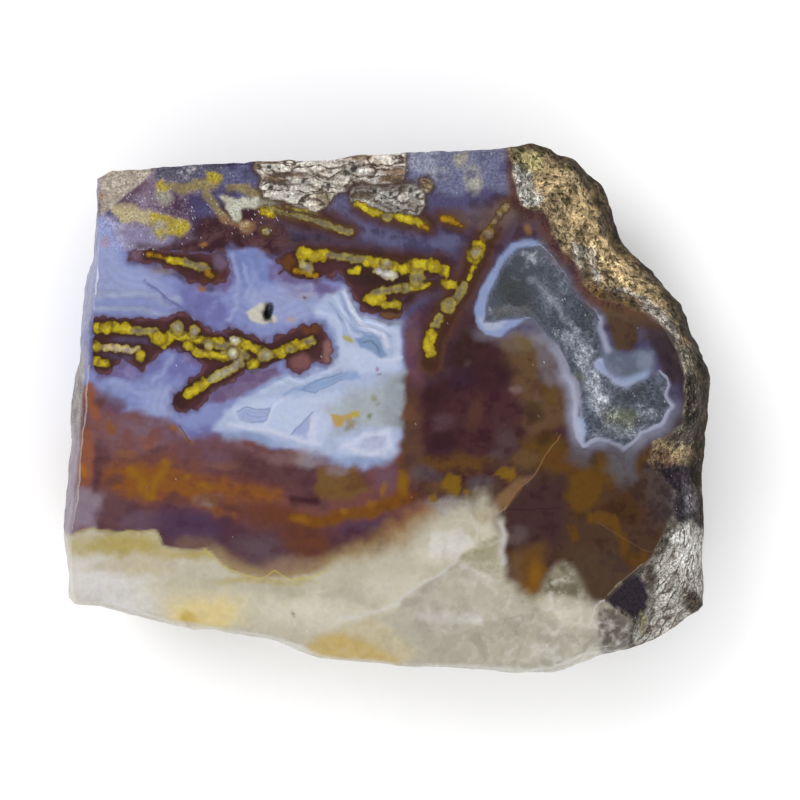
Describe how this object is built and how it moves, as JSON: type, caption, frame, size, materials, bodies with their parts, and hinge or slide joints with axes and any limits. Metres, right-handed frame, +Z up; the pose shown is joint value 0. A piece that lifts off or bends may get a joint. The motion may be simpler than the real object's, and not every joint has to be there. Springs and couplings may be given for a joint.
{
  "type": "rough agate",
  "caption": "Rough agate with a sawn, polished face of lavender, yellow and plum chalcedony over milky quartz, brown rind on one side and a flat sawn back that it lies on",
  "frame": {"origin": "on the flat sawn back, under the middle of the stone's outline", "axes": "+Z up out of the polished face, +X to the right and +Y to the top of the face as the picture shows it"},
  "size_m": [0.0915, 0.0746, 0.026],
  "materials": {
    "agate": "satin"
  },
  "bodies": {
    "root": {"agate": "agate"}
  },
  "joints": []
}
